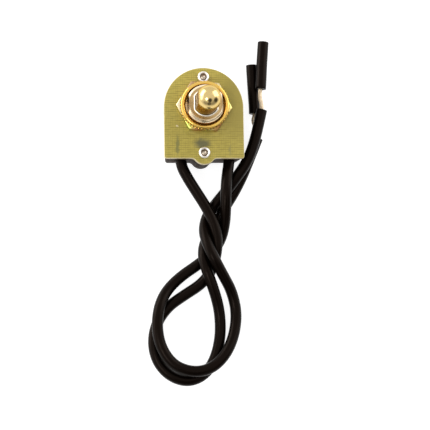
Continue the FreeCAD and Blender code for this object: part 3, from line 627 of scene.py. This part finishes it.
# Rivets
# Two rivets of tinned brass, pushed through from the housing's back, where their flat heads lie
# in recesses. Each is drilled at its front end, which is rolled over on the board as a ring.
RIVETS = {"upper": 8.4017, "lower": -12.7}
RIVET_DRILLED = 11.15
# The hole's painted shade: from and to a height above its floor, and the tone painted below that; the
# wall is darkest and the floor a little lighter.
RIVET_HOLE_PAINTED_SHADE = ((0.38, 0.5, "8C7C6C"), (-0.03, 0.03, "C8BAA8"))

# Bright tin over brass: nearly white, soft and smooth, with faint tool marks.
tin, tree, surface, where, tone = new_finish(
    "bright_tinned_brass", "FCF9F4", "F0EAE2", 1.2, 0.4, 0.004, Metallic=1.0, Roughness=0.36)
height = add(tree, "ShaderNodeSeparateXYZ", {0: where}).outputs["Z"]
# Painted shade: the drilled hole is darker down its wall, and a little less dark on its floor.
for low, high, shade in RIVET_HOLE_PAINTED_SHADE:
    above = add(tree, "ShaderNodeMapRange", {
        "Value": height, "From Min": (RIVET_DRILLED + low) * MM, "From Max": (RIVET_DRILLED + high) * MM,
    }).outputs[0]
    tone = add(
        tree, "ShaderNodeMix", {0: above, 6: linear(shade), 7: tone}, data_type="RGBA").outputs[2]
tree.links.new(tone, surface.inputs["Base Color"])
# The rivet's section, a radius and a height at each point: the flat head at the back, the shank,
# the rolled ring and the dished floor that the drill leaves.
rivet_section = [
    (0.0, 0.4), *corner((1.28, 0.52), 0.12, -90, 0, 4), *corner((1.28, 0.72), 0.08, 0, 90, 4),
    (1.15, 0.8), (1.15, 6.0), (1.15, 11.6), *corner((1.26, 11.66), (0.34, 0.39), -8, 172, 13),
    (0.9, 11.5), (0.87, RIVET_DRILLED + 0.22), (0.6, RIVET_DRILLED), (0.34, RIVET_DRILLED - 0.05),
    (0.0, RIVET_DRILLED - 0.25),
]
for side, y in RIVETS.items():
    wall, faces = turned_wall(rivet_section, 48, middle=(0.0, y))
    placed(
        new_piece(f"{side}_rivet", wall, faces, tin, 50),
        "switch", "bright_rivet", f"{side}_eyelet")


# Hex nut
# The lock nut on the thread, pressed from sheet steel with its upper corners rounded off, zinc
# plated and dipped in yellow chromate, which dries in patches of pink, green and maroon.
HEX_EDGE = 0.12
CHROMATE_PATCH = 1.3
CHROMATE_DRIFT = 4.0
CHROMATE_SHOWS = 0.85
# The tones round the nut: a share of the turn, counted from its left through its front.
CHROMATE_ROUND = (
    (0.00, "F6E6C0"), (0.08, "E0CC74"), (0.14, "C2DC62"), (0.20, "CF7458"), (0.26, "CFD078"),
    (0.31, "BE9450"), (0.35, "8E4A22"), (0.43, "84361E"), (0.49, "D3C276"), (0.56, "C4D97C"),
    (0.64, "E3D3A0"), (0.72, "A86E5A"), (0.80, "AE7A48"), (0.90, "EED8BC"), (1.00, "F6E6C0"),
)

# Yellow chromate over bright zinc: a thin clear film that shines as the metal under it does, and
# changes colour with its thickness.
chromate, tree, surface, where, tone = new_finish(
    "yellow_chromate_zinc", "E9DCA6", "CDB974", 1.5, 0.3, 0.008, Metallic=1.0, Roughness=0.3)
drift = add(tree, "ShaderNodeTexNoise", {
    "Vector": where, "Scale": 1 / (CHROMATE_PATCH * MM), "Detail": 3, "Distortion": 0.8})
aside = add(tree, "ShaderNodeVectorMath", {
    0: drift.outputs["Color"], 1: (0.5, 0.5, 0.5)}, operation="SUBTRACT")
aside = add(tree, "ShaderNodeVectorMath", {
    0: aside.outputs[0], 1: (CHROMATE_DRIFT * MM, CHROMATE_DRIFT * MM, 0.0), 2: where,
}, operation="MULTIPLY_ADD")
round_nut = add(tree, "ShaderNodeTexGradient", {"Vector": aside.outputs[0]}, gradient_type="RADIAL")
colours = add(tree, "ShaderNodeValToRGB", {0: round_nut.outputs["Fac"]})
while len(colours.color_ramp.elements) < len(CHROMATE_ROUND):
    colours.color_ramp.elements.new(0.5)
for element, (at, shade) in zip(colours.color_ramp.elements, CHROMATE_ROUND):
    element.position = at
    element.color = linear(shade)
tone = add(
    tree, "ShaderNodeMix", {0: CHROMATE_SHOWS, 6: tone, 7: colours.outputs[0]},
    data_type="RGBA").outputs[2]
tree.links.new(tone, surface.inputs["Base Color"])
placed(
    eased_copy("hex_nut", "chromated_hex_nut", HEX_EDGE, chromate), "lock_nut", "chromate", "hex_nut")


# Knurled nut
# The finger nut that a lamp's owner sees, turned from brass and gilt lacquered: a band of rolled
# teeth, a smooth rounded rim above it and a deep dish inside, whose colour is painted dark as shade.
KNURL_TEETH = 48
KNURL_COLUMNS = KNURL_TEETH * 12
KNURL_CREST = 6.84
KNURL_DEPTH = 0.26
# A higher power makes the grooves between the teeth narrower.
KNURL_POWER = 2.6
KNURL_ROUNDING = 0.12
# Where the tone changes: from and to a height, where the teeth's painted shade ends at the rim; a
# distance in from the crests, where the grooves' painted shade ends; and a radius, where the dish's
# painted shade ends.
RIM_STARTS = (14.45, 14.6)
GROOVE_SHADE_ENDS = (0.2, 0.08)
DISH_SHADE_ENDS = (5.3, 5.6)


def teeth(angle):
    """A row of rounded teeth: a sine's size to a power, nought at each crest, times the depth."""
    return np.abs(np.sin(KNURL_TEETH * angle / 2)) ** KNURL_POWER * KNURL_DEPTH


# Gilt lacquer on turned brass: deep yellow and bright. The teeth are painted a darker gold and dark
# brown between them, and the dish dark brown, as shade.
gilt, tree, surface, where, tone = new_finish(
    "gilt_lacquered_brass", "F9D478", "EAB850", 3.0, 0.5, 0.002, Metallic=1.0, Roughness=0.1)
flatwise = add(tree, "ShaderNodeVectorMath", {0: where, 1: (1.0, 1.0, 0.0)}, operation="MULTIPLY")
radial = add(tree, "ShaderNodeVectorMath", {0: flatwise.outputs[0]}, operation="LENGTH").outputs["Value"]
# Painted shade: the teeth darker than the rim, darker still in their grooves, and the dish dark brown.
outside = add(tree, "ShaderNodeMapRange", {
    "Value": radial, "From Min": DISH_SHADE_ENDS[0] * MM, "From Max": DISH_SHADE_ENDS[1] * MM}).outputs[0]
height = add(tree, "ShaderNodeSeparateXYZ", {0: where}).outputs["Z"]
smooth = add(tree, "ShaderNodeMapRange", {
    "Value": height, "From Min": RIM_STARTS[0] * MM, "From Max": RIM_STARTS[1] * MM}).outputs[0]
crest = add(tree, "ShaderNodeMapRange", {
    "Value": radial, "From Min": (KNURL_CREST - GROOVE_SHADE_ENDS[0]) * MM,
    "From Max": (KNURL_CREST - GROOVE_SHADE_ENDS[1]) * MM}).outputs[0]
teeth_painted_shade = add(
    tree, "ShaderNodeMix", {0: crest, 6: linear("4E320E"), 7: linear("BC862C")},
    data_type="RGBA").outputs[2]
tone = add(tree, "ShaderNodeMix", {0: smooth, 6: teeth_painted_shade, 7: tone}, data_type="RGBA").outputs[2]
tone = add(
    tree, "ShaderNodeMix", {0: outside, 6: linear("6E4A16"), 7: tone}, data_type="RGBA").outputs[2]
tree.links.new(tone, surface.inputs["Base Color"])
# The ring's section: a radius, a height and how deep the teeth are cut there. It runs from the
# bore under the band and up its teeth, over the rim and down into the dish.
ring_section = [(5.26, 13.25, 0), (5.31, 13.2, 0), (6.5, 13.2, 0.2)]
for height_there, first, last in ((13.34, -60, 0), (14.41, 0, 60)):
    middle = (KNURL_CREST - KNURL_ROUNDING, height_there)
    ring_section += [(r, z, 1) for r, z in corner(middle, KNURL_ROUNDING, first, last, 4)]
ring_section += [(6.63, 14.54, 0.5), (6.6, 14.58, 0)]
ring_section += [(r, z, 0) for r, z in corner((6.24, 14.84), 0.36, 0, 90, 8)]
ring_section += [(r, z, 0) for r, z in corner((5.94, 14.98), 0.22, 90, 180, 7)]
ring_section += [(5.66, 14.75, 0), (5.48, 14.3, 0), (5.26, 14.3, 0)]
wall, faces = turned_wall(ring_section, KNURL_COLUMNS, wave=teeth, ring=True)
placed(
    new_piece("gilt_knurled_nut", wall, faces, gilt, 40),
    "ring_nut", "gold_brass", "knurled_nut")


# Push button
# A round-ended brass button, turned and polished bright, with a flat milled on its left and
# right so that it can't turn in the bushing's lip. It is hollow below for the plunger's spigot
# and the spring.
BUTTON_FLAT = 2.9
DOME_RADIUS = 3.4
DOME_FROM = 25.6
# Between these heights the barrel's painted shade gives way to the dome's tone.
BARREL_SHADE_ENDS = (24.8, 26.0)

# Polished brass: a clear mirror of a pale, slightly brown yellow, softened by fine rubbing.
# The barrel under the dome is painted a darker brown, as shade.
brass, tree, surface, where, tone = new_finish(
    "polished_brass", "EBD194", "D9BA74", 3.5, 0.9, 0.001, Metallic=1.0, Roughness=0.18,
    Specular_Tint=linear("CDBB94"))
height = add(tree, "ShaderNodeSeparateXYZ", {0: where}).outputs["Z"]
# Painted shade: the barrel under the dome is mixed to a darker brown.
above_barrel_shade = add(tree, "ShaderNodeMapRange", {
    "Value": height, "From Min": BARREL_SHADE_ENDS[0] * MM, "From Max": BARREL_SHADE_ENDS[1] * MM}).outputs[0]
tone = add(
    tree, "ShaderNodeMix", {0: above_barrel_shade, 6: linear("977838"), 7: tone}, data_type="RGBA").outputs[2]
tree.links.new(tone, surface.inputs["Base Color"])
# The button's section: the two bores for the spring and the spigot, the barrel and the dome.
button_section = [
    (0.0, 20.0), (2.2, 20.0), (2.2, 15.5), (2.65, 15.5), (2.65, 13.0), (2.7, 12.95), (3.35, 12.95),
    *((DOME_RADIUS, height_there) for height_there in (13.0, 16.0, 19.0, 22.0, 24.0)),
    *corner((0.0, DOME_FROM), DOME_RADIUS, 0, 90, 46),
]
wall, faces = turned_wall(button_section, 192, flats=[BUTTON_FLAT] * len(button_section))
placed(
    new_piece("polished_brass_button", wall, faces, brass),
    "button", "polished_brass", "push_button")


# Floor and light
# A plain white table in a studio: soft boxes at the left and the right, a small lamp above the
# front left, and a pale room that is darker at the front, where the camera stands.
FLOOR_SIZE = 3.0
# The housing's back face lies on the table, a hair above it.
FLOOR_LEVEL = -0.02 * MM
FLOOR_GLOW = 0.86
# The painted pool of light round the switch, a glow that only reflections see: its radii in metres, and
# its strengths in and outside them.
POOL_RADII = (0.08, 0.20)
POOL_STRENGTHS = (0.95, 0.5)
# Each lamp's place, its width and height, and its power.
LAMPS = (
    ("left_soft_box", (-0.479, 0.335, 0.170), (0.46, 0.36), 1.9),
    ("right_soft_box", (0.476, 0.253, 0.275), (0.44, 0.52), 1.45),
    ("front_lamp", (-0.30, -0.27, 0.57), (0.18, 0.18), 0.8),
)
ROOM_OVERHEAD, ROOM_ROUND = 0.92, 0.90
# Bright and dark things in the room: a direction, the cosines at its edge and in its middle, and
# a brightness.
ROOM_THINGS = (
    ((-0.99, 0.06, 0.08), 0.88, 0.96, 3.2),
    ((0.97, 0.05, 0.08), 0.92, 0.98, 1.7),
    ((0.05, -0.61, 0.79), 0.90, 0.98, 0.03),
    ((0.83, -0.45, 0.33), 0.88, 0.97, 0.03),
    ((-0.52, -0.82, 0.24), 0.92, 0.98, 0.40),
    ((0.00, -0.95, 0.31), 0.93, 0.98, 0.12),
    ((0.52, -0.82, 0.24), 0.92, 0.98, 0.36),
)

# Matt white paper: it takes a soft shadow, and glows just enough to be seen as pure white.
paper, tree, surface, where, tone = new_finish(
    "matt_white_paper", "A6A6A5", "A2A2A1", 40.0, 2.0, 0.02, Roughness=0.9)
# In the bright metal its glow is stronger round the switch, a painted pool of light, and fades to grey
# further out.
rays = add(tree, "ShaderNodeLightPath").outputs
seen = add(tree, "ShaderNodeMath", {
    0: rays["Is Glossy Ray"], 1: rays["Is Transmission Ray"]}, operation="ADD")
away = add(tree, "ShaderNodeVectorMath", {0: where}, operation="LENGTH").outputs["Value"]
pool = add(tree, "ShaderNodeMapRange", {
    "Value": away, "From Min": POOL_RADII[0], "From Max": POOL_RADII[1],
    "To Min": POOL_STRENGTHS[0], "To Max": POOL_STRENGTHS[1],
}, interpolation_type="SMOOTHSTEP").outputs[0]
seen = add(tree, "ShaderNodeMath", {0: seen.outputs[0], 1: pool}, operation="MULTIPLY")
seen = add(tree, "ShaderNodeMath", {0: seen.outputs[0], 1: rays["Is Camera Ray"]}, operation="ADD")
glow = add(tree, "ShaderNodeMath", {0: seen.outputs[0], 1: FLOOR_GLOW}, operation="MULTIPLY")
tree.links.new(glow.outputs[0], surface.inputs["Emission Strength"])
surface.inputs["Emission Color"].default_value = (1.0, 1.0, 1.0, 1.0)
floor_mesh = bpy.data.meshes.new("table")
half = FLOOR_SIZE / 2
floor_mesh.from_pydata(
    [(x * half, y * half, FLOOR_LEVEL) for x, y in ((-1, -1), (1, -1), (1, 1), (-1, 1))], [],
    [(0, 1, 2, 3)])
floor_mesh.materials.append(paper)
table = bpy.data.objects.new("table", floor_mesh)
bpy.context.scene.collection.objects.link(table)

for name, at, (wide, high), power in LAMPS:
    lamp = bpy.data.lights.new(name, "AREA")
    lamp.shape = "RECTANGLE"
    lamp.size = wide
    lamp.size_y = high
    lamp.energy = power
    holder = bpy.data.objects.new(name, lamp)
    bpy.context.scene.collection.objects.link(holder)
    aim = Vector(at) - Vector((0.0, 0.0, 0.02))
    holder.matrix_world = Matrix.Translation(at) @ aim.to_track_quat("Z", "Y").to_matrix().to_4x4()

world = bpy.data.worlds.new("pale_room")
world.use_nodes = True
bpy.context.scene.world = world
world_tree = world.node_tree
room = world_tree.nodes["Background"]
room.inputs["Color"].default_value = (1.0, 1.0, 1.0, 1.0)
way = add(world_tree, "ShaderNodeTexCoord").outputs["Generated"]
height = add(world_tree, "ShaderNodeSeparateXYZ", {0: way}).outputs["Z"]
strength = add(world_tree, "ShaderNodeMapRange", {
    "Value": height, "From Min": 0.5, "From Max": 1.0, "To Min": ROOM_ROUND, "To Max": ROOM_OVERHEAD,
}).outputs[0]
for direction, edge, middle, level in ROOM_THINGS:
    near = add(world_tree, "ShaderNodeVectorMath", {0: way, 1: direction}, operation="DOT_PRODUCT")
    share = add(world_tree, "ShaderNodeMapRange", {
        "Value": near.outputs["Value"], "From Min": edge, "From Max": middle,
    }, interpolation_type="SMOOTHSTEP")
    strength = add(world_tree, "ShaderNodeMix", {0: share.outputs[0], 2: strength, 3: level}).outputs[0]
world_tree.links.new(strength, room.inputs["Strength"])

bpy.context.scene.view_settings.view_transform = "Standard"
